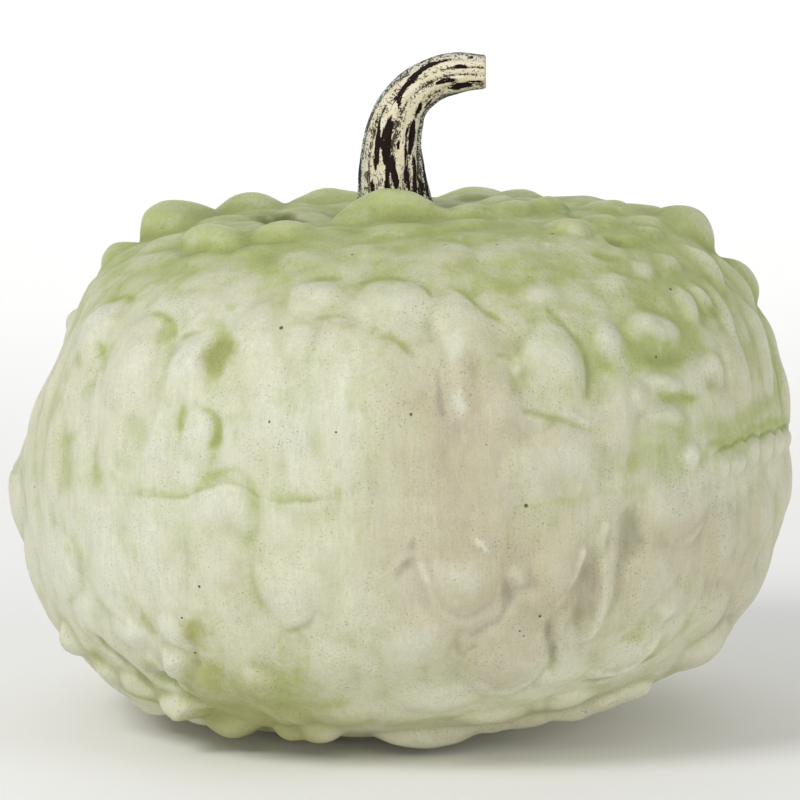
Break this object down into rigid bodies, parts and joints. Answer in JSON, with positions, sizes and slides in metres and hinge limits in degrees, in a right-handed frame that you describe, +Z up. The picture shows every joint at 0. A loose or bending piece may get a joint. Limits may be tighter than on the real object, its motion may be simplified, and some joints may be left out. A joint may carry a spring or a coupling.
{
  "type": "warty pumpkin ornament",
  "caption": "Free-standing hollow ceramic pumpkin with a knobbly squat body joined along a mould seam, a bent ribbed stem and felt feet.",
  "frame": {"origin": "centre of the base, on the surface that the pumpkin stands on", "axes": "+Z is up, -Y is the front, and +X is to the right of a viewer at the front; the stem's tip points to +X"},
  "size_m": [0.2992, 0.2936, 0.2534],
  "materials": {
    "painted_ceramic_upper": "cream paint with a pale green wash, satin",
    "painted_ceramic_lower": "cream paint with beige and olive washes, satin",
    "bare_slip": "unpainted fired slip, matt",
    "painted_stem": "cream dry-brushed over dark brown, satin",
    "birch": "plain turned dowel",
    "clear_adhesive": "cured adhesive, slightly glossy",
    "felt": "dark brown felt"
  },
  "bodies": {
    "root": {"upper_shell": "painted_ceramic_upper", "lower_shell": "painted_ceramic_lower", "seam_bead": "bare_slip", "stem": "painted_stem", "stem_dowel": "birch", "stem_adhesive": "clear_adhesive", "felt_pad_1": "felt", "felt_pad_2": "felt", "felt_pad_3": "felt", "felt_pad_4": "felt"}
  },
  "joints": []
}
